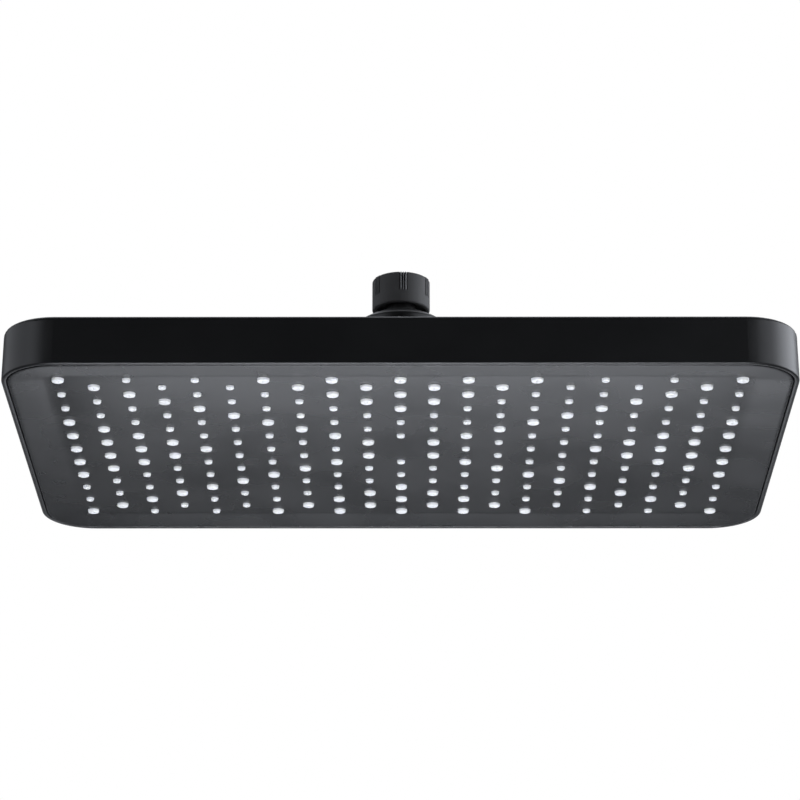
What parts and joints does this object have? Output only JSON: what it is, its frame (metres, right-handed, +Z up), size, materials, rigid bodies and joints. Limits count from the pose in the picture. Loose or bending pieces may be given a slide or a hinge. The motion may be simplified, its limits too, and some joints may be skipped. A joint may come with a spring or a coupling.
{
  "type": "rain shower head",
  "caption": "Flat rectangular rain shower head with rounded corners and a lattice of soft nozzles, hung from a ball joint with a threaded inlet nut.",
  "frame": {"origin": "centre of the inlet thread, in the plane where its full bore starts at the top of the nut", "axes": "+Z up along the inlet thread and out of its mouth, +X along the long side of the head, -Y to the front of the head"},
  "size_m": [0.3, 0.19, 0.073],
  "materials": {
    "black_plastic": "satin",
    "face_plastic": "satin",
    "white_silicone": "matte",
    "white_plastic": "satin",
    "grey_plastic": "satin",
    "green_plastic": "satin",
    "black_rubber": "matte",
    "steel": "satin"
  },
  "bodies": {
    "connector": {"ball_connector": "black_plastic", "inlet_washer": "black_rubber", "filter_screen": "steel", "flow_restrictor": "green_plastic"},
    "ball_ring": {"ball_o_ring": "black_rubber"},
    "seat": {"lower_seat": "white_plastic", "upper_seat": "white_plastic"},
    "head": {"collar": "black_plastic", "slip_washer": "white_plastic", "back_shell": "black_plastic", "chamber_cover": "grey_plastic", "seat_gasket": "black_rubber", "nozzle_mat": "white_silicone", "face_plate": "face_plastic", "cassette_screws": "steel", "centre_screw": "steel"}
  },
  "joints": [
    {"name": "ring_swivel", "type": "hinge", "parent": "connector", "child": "ball_ring", "pos_m": [0, 0, -0.0323], "axis": [0, 0, 1], "continuous": true},
    {"name": "head_tilt", "type": "hinge", "parent": "ball_ring", "child": "seat", "pos_m": [0, 0, -0.0323], "axis": [1, 0, 0], "range_deg": [-12, 12]},
    {"name": "head_swivel", "type": "hinge", "parent": "seat", "child": "head", "pos_m": [0, 0, -0.0323], "axis": [0, 0, 1], "continuous": true}
  ]
}
